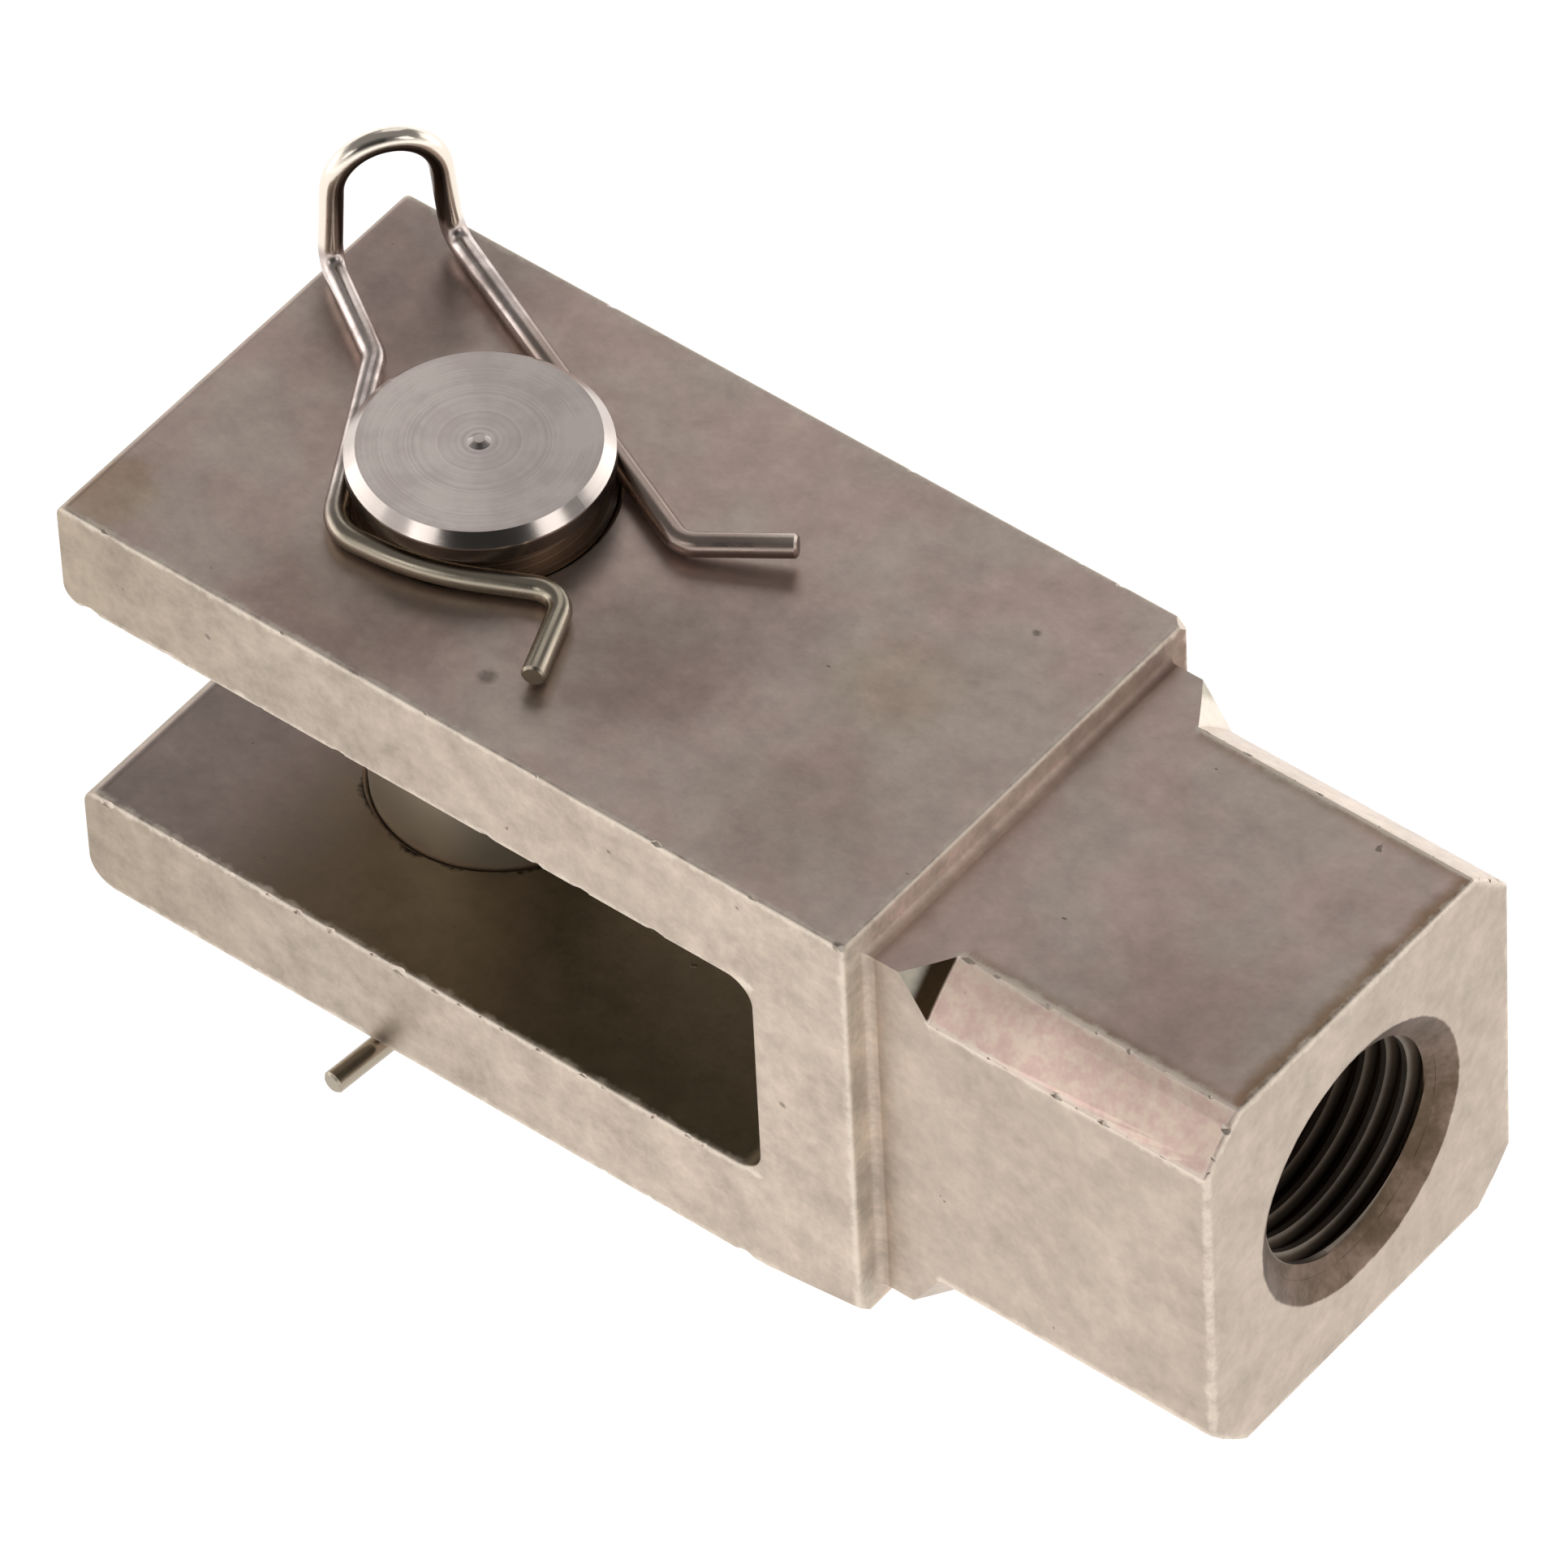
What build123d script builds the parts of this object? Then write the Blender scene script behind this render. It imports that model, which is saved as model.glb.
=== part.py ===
from build123d import *
import math
import os

# A clevis rod end: a forked steel head on a square neck with a rod thread, the pin
# that crosses the fork, and the two wire clips that keep the pin in.
#
# Lengths are in millimetres. The origin is where the pin's axis crosses the thread's
# axis. +X runs along the thread towards the rod, +Z along the pin.

# Head and slot
HEAD_WIDTH = 32.0           # square head, across its flats
HEAD_LENGTH = 58.5          # ears' front to the neck
FORK_LENGTH = 83.0          # ears' front to the neck's end
EAR_REACH = 19.1            # ears' front to the pin's axis
SLOT_GAP = 16.3             # between the ears
SLOT_DEPTH = 51.4           # ears' front to the slot's bottom
SLOT_CORNER_RADIUS = 1.8

# Neck
NECK_WIDTH = 28.3           # square neck, across its flats
TURNED_DIAMETER = 35.9      # the neck's corners are turned down to this
SQUARE_STUB = 2.5           # neck next to the head, left square
STEP_FOOT_RADIUS = 0.5      # inner corner between the head's end and the neck

# Edges
HEAD_END_RADIUS = 0.25      # outer edges of the head's end face
UPPER_FRONT_RADIUS = 0.8    # upper ear, front edge on its outer face
LOWER_FRONT_RADIUS = 2.0    # the same on the lower ear, which is ground back further
SLOT_MOUTH_RADIUS = 1.3     # both ears, front edge on the slot's side
LONG_EDGE_RADIUS = 0.2      # edges that run the length of the head
NECK_END_RADIUS = 0.35
GROUND_CORNER_LENGTH = 8.0  # the head's lower corner on the -Y side is ground away at
GROUND_CORNER_DEPTH = 1.1   # its rear: from nothing to this depth over this length

# Rod thread, M16 x 1.5, bored here at its major diameter
THREAD_DIAMETER = 16.0
THREAD_MOUTH_DIAMETER = 18.5
THREAD_MOUTH_ANGLE = 120.0  # included angle of the countersink

# Pin and its bore
PIN_DIAMETER = 15.9
PIN_BORE_DIAMETER = 16.02
PIN_BORE_CHAMFER = 0.3
PIN_LENGTH = 39.6
PIN_END_CHAMFER = 0.7
PIN_END_BLEND = 0.3         # radius at both ends of that chamfer
GROOVE_DIAMETER = 13.4
GROOVE_WIDTH = 2.0          # each groove starts level with the ear's outer face
PIP_DIAMETER = 1.4          # stub that parting off left on the pin's ends
PIP_HEIGHT = 0.25

# Spring clip, bent from one round wire. Each bend of the centre line has its place
# from the pin's axis in the plane of the legs, its height above that plane, and its
# radius. The straight leg passes the pin's axis at 7.5 and the cranked leg at 7.9,
# both inside the groove.
WIRE_DIAMETER = 1.5
WIRE_END_CHAMFER = 0.15
CLIP_CLEARANCE = 0.15       # between the wire and the ear's outer face
STRAIGHT_LEG_END = (18.65, 6.15)
UPPER_TAIL_LIFT = 0.6       # straight leg's end, above the plane of the legs
LOWER_TAIL_LIFT = 0.1
CLIP_BENDS = [
    ((12.75, 2.62, 0.0), 1.9),      # straight leg's turned-out tail
    ((-13.95, 14.40, 0.0), 1.5),    # straight leg rises into the finger loop
    ((-14.31, 13.89, 8.8), 3.3),    # top of the finger loop
    ((-17.94, 8.81, 8.8), 3.3),
    ((-18.30, 8.30, 0.0), 1.5),     # finger loop comes down into the cranked leg
    ((-11.10, 3.70, 0.0), 2.0),     # crank before the pin
    ((-4.30, -8.55, 0.0), 2.8),     # cranked leg turns across in front of the pin
    ((2.08, -7.97, 0.0), 18.0),     # its slight bow
    ((9.93, -4.23, 0.0), 1.9),      # cranked leg's turned-out tail
]
CRANKED_LEG_END = (12.6, -10.8, 0.2)
LOWER_CLIP_TURN = -32.4     # degrees in the ear's plane: the lower clip is turned over
                            # about the line in this direction

HEAD_END = HEAD_LENGTH - EAR_REACH
NECK_END = FORK_LENGTH - EAR_REACH
SLOT_END = SLOT_DEPTH - EAR_REACH
EAR_FACE = HEAD_WIDTH / 2
OVERSHOOT = 5.0             # how far cutting tools run past the faces they cut


def bar_along_x(start, end, width, height):
    """A square or flat bar from one X to another, centred on the thread's axis."""
    bar = Box(end - start, width, height)
    return Pos((start + end) / 2, 0, 0) * bar


def edges_in_plane(shape, axis, place):
    """The edges of a shape that lie in the plane where an axis has one value."""
    return shape.edges().filter_by_position(axis, place - 0.01, place + 0.01)


def turned_envelope():
    """What the lathe leaves: a cylinder over the neck with a 45 degree shoulder."""
    turned_radius = TURNED_DIAMETER / 2
    square_corner = NECK_WIDTH / math.sqrt(2)
    cone_start = HEAD_END + SQUARE_STUB
    cone_end = cone_start + square_corner - turned_radius
    clear = HEAD_WIDTH
    with BuildSketch(Plane.XZ) as half_profile:
        Polygon(
            (-clear, 0),
            (-clear, clear),
            (cone_end - (clear - turned_radius), clear),
            (cone_end, turned_radius),
            (NECK_END, turned_radius),
            (NECK_END, 0),
            align=None,
        )
    return revolve(half_profile.sketch, Axis.X)


def fork_blank():
    """Head and neck before the slot and the holes are cut."""
    head = bar_along_x(-EAR_REACH, HEAD_END, HEAD_WIDTH, HEAD_WIDTH)
    neck = bar_along_x(HEAD_END - OVERSHOOT, NECK_END, NECK_WIDTH, NECK_WIDTH)
    blank = head + neck
    step_edges = edges_in_plane(blank, Axis.X, HEAD_END)
    blank = fillet([e for e in step_edges if not is_on_head_outline(e)], STEP_FOOT_RADIUS)
    step_edges = edges_in_plane(blank, Axis.X, HEAD_END)
    blank = fillet([e for e in step_edges if is_on_head_outline(e)], HEAD_END_RADIUS)
    blank = blank & turned_envelope()
    return fillet(edges_in_plane(blank, Axis.X, NECK_END), NECK_END_RADIUS)


def is_on_head_outline(edge):
    """True for an edge whose middle lies on one of the head's flats."""
    middle = edge.center()
    return max(abs(middle.Y), abs(middle.Z)) > EAR_FACE - 0.01


def slot_cutter():
    """The block taken out between the ears, with its two inner corners rounded."""
    block = bar_along_x(
        -EAR_REACH - OVERSHOOT,
        SLOT_END,
        HEAD_WIDTH + 2 * OVERSHOOT,
        SLOT_GAP,
    )
    inner_corners = edges_in_plane(block, Axis.X, SLOT_END).filter_by(Axis.Y)
    return fillet(inner_corners, SLOT_CORNER_RADIUS)


def thread_cutter():
    """The rod thread's bore, from the slot to its countersunk mouth."""
    radius = THREAD_DIAMETER / 2
    mouth_radius = THREAD_MOUTH_DIAMETER / 2
    mouth_depth = (mouth_radius - radius) / math.tan(math.radians(THREAD_MOUTH_ANGLE / 2))
    bore = Cylinder(radius, NECK_END, align=(Align.CENTER, Align.CENTER, Align.MIN))
    mouth = Cone(radius, mouth_radius, mouth_depth, align=(Align.CENTER, Align.CENTER, Align.MAX))
    cutter = bore + Pos(0, 0, NECK_END) * mouth
    return Rot(0, 90, 0) * cutter


def pin_bore_cutter():
    """The pin's bore through both ears, chamfered on the four faces it meets."""
    radius = PIN_BORE_DIAMETER / 2
    cutter = Cylinder(radius, HEAD_WIDTH + 2 * OVERSHOOT)
    widens_down = Cone(radius + PIN_BORE_CHAMFER, radius, PIN_BORE_CHAMFER)
    widens_up = Cone(radius, radius + PIN_BORE_CHAMFER, PIN_BORE_CHAMFER)
    slot_face = (SLOT_GAP + PIN_BORE_CHAMFER) / 2
    outer_face = EAR_FACE - PIN_BORE_CHAMFER / 2
    cutter += [Pos(0, 0, outer_face) * widens_up, Pos(0, 0, slot_face) * widens_down]
    cutter += [Pos(0, 0, -slot_face) * widens_up, Pos(0, 0, -outer_face) * widens_down]
    return cutter


def round_ear_fronts(fork):
    """Rounds the front edges of both ears, the slot's mouth among them."""
    half_gap = SLOT_GAP / 2
    edges_across = [
        (EAR_FACE, UPPER_FRONT_RADIUS),
        (half_gap, SLOT_MOUTH_RADIUS),
        (-half_gap, SLOT_MOUTH_RADIUS),
        (-EAR_FACE, LOWER_FRONT_RADIUS),
    ]
    for height, radius in edges_across:
        front_edges = edges_in_plane(fork, Axis.X, -EAR_REACH)
        fork = fillet(edges_in_plane(front_edges, Axis.Z, height), radius)
    return fork


def break_side_edges(fork):
    """Takes the sharpness off every edge of the head's two sides."""
    for side in (EAR_FACE, -EAR_FACE):
        side_edges = edges_in_plane(fork, Axis.Y, side)
        fork = fillet(side_edges, LONG_EDGE_RADIUS)
    return fork


def ground_corner_cutter():
    """A block whose base slices off the head's lower rear corner on the -Y side."""
    start = Vector(HEAD_END - GROUND_CORNER_LENGTH, -EAR_FACE, -EAR_FACE)
    on_side = Vector(GROUND_CORNER_LENGTH, 0, GROUND_CORNER_DEPTH)
    on_bottom = Vector(GROUND_CORNER_LENGTH, GROUND_CORNER_DEPTH, 0)
    base = Plane(origin=start, x_dir=on_side, z_dir=on_bottom.cross(on_side))
    size = 3 * GROUND_CORNER_LENGTH
    return base * Box(size, size, size, align=(Align.CENTER, Align.CENTER, Align.MIN))


def make_fork():
    fork = fork_blank() - slot_cutter() - thread_cutter()
    fork = break_side_edges(round_ear_fronts(fork))
    return fork - pin_bore_cutter() - ground_corner_cutter()


def make_pin():
    """A turned pin with a clip groove just outside each ear."""
    radius = PIN_DIAMETER / 2
    groove_radius = GROOVE_DIAMETER / 2
    half_length = PIN_LENGTH / 2
    groove_end = EAR_FACE + GROOVE_WIDTH
    upper_half = [
        (radius, EAR_FACE),
        (groove_radius, EAR_FACE),
        (groove_radius, groove_end),
        (radius, groove_end),
        (radius, half_length - PIN_END_CHAMFER),
        (radius - PIN_END_CHAMFER, half_length),
        (PIP_DIAMETER / 2, half_length),
        (PIP_DIAMETER / 4, half_length + PIP_HEIGHT),
        (0, half_length + PIP_HEIGHT),
    ]
    lower_half = [(r, -z) for r, z in reversed(upper_half)]
    with BuildSketch(Plane.XZ) as profile:
        Polygon(*lower_half, *upper_half, align=None)
        blended = [v for v in profile.vertices() if is_at_end_chamfer(v)]
        fillet(blended, PIN_END_BLEND)
    return revolve(profile.sketch, Axis.Z)


def is_at_end_chamfer(vertex):
    """True for the profile's corners where an end chamfer starts or stops."""
    chamfer_start = PIN_LENGTH / 2 - PIN_END_CHAMFER
    return abs(vertex.Z) > chamfer_start - 0.01 and vertex.X > PIN_DIAMETER / 4


def make_clip(tail_lift):
    """A wire clip on the upper ear, swept along its centre line, its cut ends broken."""
    legs_height = EAR_FACE + CLIP_CLEARANCE + WIRE_DIAMETER / 2
    tail_end = (*STRAIGHT_LEG_END, tail_lift)
    places = [tail_end] + [place for place, _ in CLIP_BENDS] + [CRANKED_LEG_END]
    radii = [radius for _, radius in CLIP_BENDS]
    path = FilletPolyline(*[(x, y, legs_height + z) for x, y, z in places], radius=radii)
    section = Plane(origin=path @ 0, z_dir=path % 0) * Circle(WIRE_DIAMETER / 2)
    wire = sweep(section, path)
    circles = wire.edges().filter_by(GeomType.CIRCLE)
    cut_ends = circles.sort_by(lambda edge: distance_to_ends(edge, path))[:2]
    return chamfer(cut_ends, WIRE_END_CHAMFER)


def distance_to_ends(edge, path):
    """How far the middle of an edge's circle is from the nearer end of the path."""
    return min((edge.arc_center - path @ 0).length, (edge.arc_center - path @ 1).length)


def make_lower_clip():
    """The second clip, turned over to the lower ear."""
    turn = math.radians(LOWER_CLIP_TURN)
    turn_axis = Axis((0, 0, 0), (math.cos(turn), math.sin(turn), 0))
    return make_clip(LOWER_TAIL_LIFT).rotate(turn_axis, 180)


os.makedirs("parts", exist_ok=True)
export_step(make_fork(), "parts/fork.step")
export_step(make_pin(), "parts/clevis_pin.step")
export_step(make_clip(UPPER_TAIL_LIFT), "parts/upper_clip.step")
export_step(make_lower_clip(), "parts/lower_clip.step")
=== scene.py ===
import math
import random

import bmesh
import bpy
from mathutils import Matrix, Vector


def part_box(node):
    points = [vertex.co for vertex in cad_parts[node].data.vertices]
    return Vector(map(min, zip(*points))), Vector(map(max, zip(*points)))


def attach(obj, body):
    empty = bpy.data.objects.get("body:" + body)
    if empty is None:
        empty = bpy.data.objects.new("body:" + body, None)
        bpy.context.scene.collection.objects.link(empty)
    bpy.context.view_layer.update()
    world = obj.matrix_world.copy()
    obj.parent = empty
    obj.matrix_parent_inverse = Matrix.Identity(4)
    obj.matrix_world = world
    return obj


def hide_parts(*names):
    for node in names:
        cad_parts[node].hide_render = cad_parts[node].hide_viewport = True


# The clevis rod end's looks, in the CAD frame: the origin is where the pin's axis crosses
# the rod thread's axis, +X runs out of the neck and +Z runs up the pin. Blender works in
# metres. The sizes below are in millimetres, and MM turns them into metres.

MM = 0.001

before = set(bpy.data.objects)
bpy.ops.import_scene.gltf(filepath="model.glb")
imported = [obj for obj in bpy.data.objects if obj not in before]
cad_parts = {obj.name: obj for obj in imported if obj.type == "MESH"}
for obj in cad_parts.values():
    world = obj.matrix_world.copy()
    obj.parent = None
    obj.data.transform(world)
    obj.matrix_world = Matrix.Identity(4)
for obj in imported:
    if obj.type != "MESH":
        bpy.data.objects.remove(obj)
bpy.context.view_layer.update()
random.seed(11)

# The fork: its ends and half width come from the frame
fork_low, fork_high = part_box("fork")
EAR_END = fork_low.x / MM
FORK_END = fork_high.x / MM
HEAD_HALF = fork_high.y / MM
HEAD_END = 39.4
STUB_END = 41.9
SLOT_END = 32.3
SLOT_HALF = 8.15
NECK_HALF = 14.15
TURNED_RADIUS = 17.95
FACET_EDGE = math.sqrt(TURNED_RADIUS ** 2 - NECK_HALF ** 2)
CONE_END = STUB_END + 2.1
EAR_CORNER = 2.0

# Corners of the head that are knocked off, how deep, and the radius of what knocks them off
KNOCKED_CORNERS = [
    ((HEAD_END, HEAD_HALF, HEAD_HALF), 0.55),
    ((HEAD_END, -HEAD_HALF, HEAD_HALF), 0.30),
]
KNOCK_RADIUS = 2.5

# Chips along the fork's edges: how far apart on the head's edges, on the slot's and facets' long
# edges and across the facets' ends, the smallest one's radius and how much larger the largest is
CHIP_GAP = 1.0
SPARSE_CHIP_GAP = 2.4
END_CHIP_GAP = 0.9
CHIP_RADIUS = 0.24
CHIP_SPREAD = 0.38

# Rod thread, M16 x 1.5, with a 120 degree mouth
THREAD_ROOT = 8.0
THREAD_CREST = 7.19
THREAD_PITCH = 1.5
THREAD_ROOT_HALF = THREAD_PITCH * 7 / 16
THREAD_CREST_HALF = THREAD_PITCH / 8
THREAD_SUNK = 0.05
THREAD_STEPS = 72
MOUTH_RADIUS = 9.25
MOUTH_SLOPE = math.tan(math.radians(60))

# The pin: its radius, the heights where its grooves end and its end chamfers start, and the
# radius of its bore in the ears
PIN_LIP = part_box("clevis_pin")[1].x / MM
PIN_SHOULDER = HEAD_HALF + 2.0
PIN_CHAMFER_START = 19.1
PIN_BORE = 8.01

# The upper clip's finger loop: the middle of its bend, the direction across it, its radius and
# the height at which it starts to rise
LOOP_MIDDLE = (-16.13, 11.35, 22.4)
LOOP_ACROSS = (0.58, 0.81, 0.0)
LOOP_RADIUS = 3.3
LOOP_FOOT = 17.8

# Shading: faces square to an axis stay flat, and edges sharper than the angle stay sharp
FLAT_SHARE = 0.9995
SHARP_ANGLE = math.radians(32)

# Camera: where it looks, from how far, and how it is turned
CAMERA_TARGET = Vector((21.44, 0.53, 3.92)) * MM
CAMERA_DISTANCE = 1005.8 * MM
CAMERA_AZIMUTH = 40.776
CAMERA_ELEVATION = 47.176
CAMERA_ROLL = -3.029
CAMERA_LENS = 397.53
CAMERA_SENSOR = 36.0

# Studio: floor, surroundings and lamps
FLOOR_HEIGHT = -60 * MM
FLOOR_SIZE = 6.0
FLOOR_GREY = (0.8, 0.8, 0.8, 1)
FLOOR_LIFT = 0.75
HORIZON_LEVEL = 1.6
OVERHEAD_LEVEL = 0.22
CAMERA_SIDE_DIM = 0.88
LAMP_DISTANCE = 0.9

# Softboxes: name, direction from the object, side in metres and radiance
SOFTBOXES = [
    ("key", (-0.41, 0.66, 0.625), 0.45, 0.72),
    ("left", (-0.17, -0.78, 0.60), 0.28, 1.6),
    ("right", (0.80, 0.11, 0.59), 0.30, 1.6),
    ("front", (-0.48, -0.74, 0.47), 0.45, 0.40),
    ("far_left", (-0.89, -0.41, 0.21), 0.60, 0.80),
    ("far_right", (0.46, 0.86, 0.21), 0.60, 0.80),
]


# ---------------------------------------------------------------- node helpers

def rgba(red, green, blue):
    """An sRGB colour given in 0 to 255, as the linear colour that a socket takes."""
    def linear(channel):
        share = channel / 255
        if share <= 0.04045:
            return share / 12.92
        return ((share + 0.055) / 1.055) ** 2.4
    return (linear(red), linear(green), linear(blue), 1.0)


class Nodes:
    """A node tree, with short calls for the nodes that the finishes and the studio share."""

    def __init__(self, owner):
        owner.use_nodes = True
        self.tree = owner.node_tree
        self.tree.nodes.clear()

    def feed(self, socket, value):
        if isinstance(value, bpy.types.NodeSocket):
            self.tree.links.new(value, socket)
        else:
            socket.default_value = value

    def add(self, kind, inputs=(), **settings):
        made = self.tree.nodes.new("ShaderNode" + kind)
        for key, value in settings.items():
            setattr(made, key, value)
        for key, value in dict(inputs).items():
            self.feed(made.inputs[key], value)
        return made

    def math(self, operation, *values, clamp=False):
        made = self.add("Math", dict(enumerate(values)), operation=operation, use_clamp=clamp)
        return made.outputs[0]

    def vector(self, operation, *values):
        made = self.add("VectorMath", dict(enumerate(values)), operation=operation)
        gives_number = operation in ("DOT_PRODUCT", "LENGTH", "DISTANCE")
        return made.outputs["Value" if gives_number else "Vector"]

    def step(self, value, low, high):
        """0 where a value is under low, 1 where it is over high, smooth between them."""
        inputs = {"Value": value, "From Min": low, "From Max": high}
        return self.add("MapRange", inputs, interpolation_type="SMOOTHSTEP").outputs["Result"]

    def band(self, value, low, high, blur):
        """1 between low and high and 0 outside them, with blurred edges."""
        rise = self.step(value, low - blur, low + blur)
        fall = self.step(value, high + blur, high - blur)
        return self.math("MULTIPLY", rise, fall)

    def mix(self, factor, first, second, blend="MIX"):
        made = self.add("Mix", {0: factor, 6: first, 7: second}, data_type="RGBA", blend_type=blend)
        return made.outputs[2]

    def mix_value(self, factor, first, second):
        return self.add("Mix", {0: factor, 2: first, 3: second}, data_type="FLOAT").outputs[0]

    def noise(self, place, scale, detail=3.0, roughness=0.55):
        inputs = {"Vector": place, "Scale": scale, "Detail": detail, "Roughness": roughness}
        return self.add("TexNoise", inputs).outputs[0]

    def scale(self, vector, factor):
        return self.add("VectorMath", {0: vector, "Scale": factor}, operation="SCALE").outputs[0]

    def product(self, *values):
        result = values[0]
        for value in values[1:]:
            result = self.math("MULTIPLY", result, value)
        return result

    def millimetres(self):
        """The object's own coordinates, in millimetres."""
        return self.scale(self.add("TexCoord").outputs["Object"], 1 / MM)

    def split(self, vector):
        return self.add("SeparateXYZ", {0: vector}).outputs

    def join(self, x, y, z):
        return self.add("CombineXYZ", {0: x, 1: y, 2: z}).outputs[0]


# ---------------------------------------------------------------- studio

def place_camera():
    """A long lens at the recorded viewing angle."""
    azimuth = math.radians(CAMERA_AZIMUTH)
    elevation = math.radians(CAMERA_ELEVATION)
    roll = math.radians(CAMERA_ROLL)
    back = Vector((
        math.sin(azimuth) * math.cos(elevation),
        -math.cos(azimuth) * math.cos(elevation),
        math.sin(elevation),
    ))
    level_right = Vector((math.cos(azimuth), math.sin(azimuth), 0))
    level_up = back.cross(level_right)
    right = level_right * math.cos(roll) + level_up * math.sin(roll)
    up = back.cross(right)
    data = bpy.data.cameras.new("camera")
    data.lens = CAMERA_LENS
    data.sensor_width = CAMERA_SENSOR
    data.clip_end = 50.0
    camera = bpy.data.objects.new("camera", data)
    turn = Matrix((right, up, back)).transposed().to_4x4()
    camera.matrix_world = Matrix.Translation(CAMERA_TARGET + back * CAMERA_DISTANCE) @ turn
    bpy.context.scene.collection.objects.link(camera)
    bpy.context.scene.camera = camera


def add_softbox(name, direction, size, radiance):
    """A square lamp that faces the middle of the object from one direction."""
    data = bpy.data.lights.new(name, "AREA")
    data.shape = "SQUARE"
    data.size = size
    data.energy = radiance * math.pi * size ** 2
    lamp = bpy.data.objects.new(name, data)
    towards = Vector(direction).normalized()
    turn = towards.to_track_quat("Z", "Y").to_matrix().to_4x4()
    lamp.matrix_world = Matrix.Translation(CAMERA_TARGET + towards * LAMP_DISTANCE) @ turn
    bpy.context.scene.collection.objects.link(lamp)


def make_floor():
    """A wide pale floor. What the camera or a reflection sees of it is lifted to white."""
    mesh = bpy.data.meshes.new("floor")
    half = FLOOR_SIZE / 2
    corners = [(-half, -half), (half, -half), (half, half), (-half, half)]
    mesh.from_pydata([(x, y, FLOOR_HEIGHT) for x, y in corners], [], [(0, 1, 2, 3)])
    floor = bpy.data.objects.new("floor", mesh)
    bpy.context.scene.collection.objects.link(floor)
    material = bpy.data.materials.new("floor")
    nodes = Nodes(material)
    path = nodes.add("LightPath").outputs
    seen = nodes.math("MAXIMUM", path["Is Camera Ray"], path["Is Glossy Ray"])
    glow = nodes.add("Emission", {"Strength": nodes.math("MULTIPLY", seen, FLOOR_LIFT)})
    matt = nodes.add("BsdfDiffuse", {"Color": FLOOR_GREY})
    both = nodes.add("AddShader", {0: glow.outputs[0], 1: matt.outputs[0]})
    nodes.add("OutputMaterial", {"Surface": both.outputs[0]})
    mesh.materials.append(material)


def make_world():
    """Soft surroundings: white at the horizon, grey overhead, dim above the camera's side."""
    world = bpy.data.worlds.new("studio")
    bpy.context.scene.world = world
    nodes = Nodes(world)
    direction = nodes.add("TexCoord").outputs["Generated"]
    height = nodes.split(direction)["Z"]
    overhead = nodes.step(height, -0.05, 0.55)
    level = nodes.math("MULTIPLY_ADD", overhead, OVERHEAD_LEVEL - HORIZON_LEVEL, HORIZON_LEVEL)
    azimuth = math.radians(CAMERA_AZIMUTH)
    camera_side = (math.sin(azimuth), -math.cos(azimuth), 0.25)
    facing = nodes.vector("DOT_PRODUCT", direction, camera_side)
    above_side = nodes.product(nodes.step(facing, 0.35, 0.85), nodes.step(height, 0.32, 0.55))
    dimmed = nodes.math("MULTIPLY_ADD", above_side, -CAMERA_SIDE_DIM, 1.0)
    level = nodes.math("MULTIPLY", level, dimmed)
    path = nodes.add("LightPath").outputs
    strength = nodes.mix_value(path["Is Camera Ray"], level, 1.0)
    glow = nodes.add("Background", {"Color": (1, 1, 1, 1), "Strength": strength})
    nodes.add("OutputWorld", {"Surface": glow.outputs[0]})


def light_studio():
    make_world()
    make_floor()
    for softbox in SOFTBOXES:
        add_softbox(*softbox)
    bpy.context.scene.view_settings.view_transform = "Standard"


# ---------------------------------------------------------------- finishes

# Reflection colours, set by comparing renders with the photograph. Some are painted shade, highlights
# and reflections, named where they are used; for the rest, the cause of a darker or browner place isn't
# known.
SIDE_BEIGE = rgba(197, 181, 165)
SIDE_PINKISH = rgba(201, 184, 168)
SIDE_YELLOWISH = rgba(189, 171, 149)
SIDE_GREY = rgba(184, 170, 155)
WEAR_AND_HIGHLIGHT_BRIGHT = rgba(243, 231, 216)
PIT_BROWN = rgba(92, 80, 70)
TOP_MAUVE = rgba(197, 175, 165)
TOP_GREY = rgba(193, 177, 166)
STEP_KHAKI = rgba(221, 211, 196)
STEP_PINKISH = rgba(236, 216, 203)
STEP_BROWN = rgba(176, 153, 141)
CONE_DARK_REFLECTION = rgba(48, 36, 24)
CONE_GREY = rgba(214, 206, 190)
TURNED_PINK = rgba(217, 187, 175)
TURNED_PALE = rgba(217, 195, 178)
SLOT_OLIVE_SHADE = rgba(140, 127, 107)
SLOT_MAUVE_SHADE = rgba(155, 139, 131)
BORE_BROWN = rgba(100, 86, 73)
MOUTH_BROWN = rgba(100, 84, 68)
MOUTH_PINK = rgba(122, 103, 91)
CREST_PAINTED_HIGHLIGHT = rgba(190, 180, 168)
BARE_STEEL = rgba(238, 226, 214)
PIN_STEEL = rgba(210, 198, 191)
PIN_DARK = rgba(185, 173, 167)
PIN_RIM = rgba(212, 200, 192)
PIN_BROWN = rgba(172, 148, 126)
PIN_FLANK_DARK_REFLECTION = rgba(150, 142, 134)
PIN_DIM = rgba(228, 228, 229)
PIN_OLIVE = rgba(206, 193, 176)
WIRE_STEEL = rgba(230, 215, 208)
WIRE_DARK = rgba(180, 165, 158)
WIRE_OLIVE = rgba(168, 157, 140)
WIRE_BROWN = rgba(166, 148, 138)
LOOP_INSIDE_DARK_REFLECTION = rgba(92, 76, 62)
PIN_RING_PAINTED_SHADE = rgba(44, 34, 26)
BORDER_BROWN = rgba(205, 188, 165)

# More than any distance to an edge that matters, in millimetres
FAR_FROM_EDGES = 9.0

# How squarely a face looks up or down: under the first it stands, over the second it lies flat
LYING = (0.80, 0.95)

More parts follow.
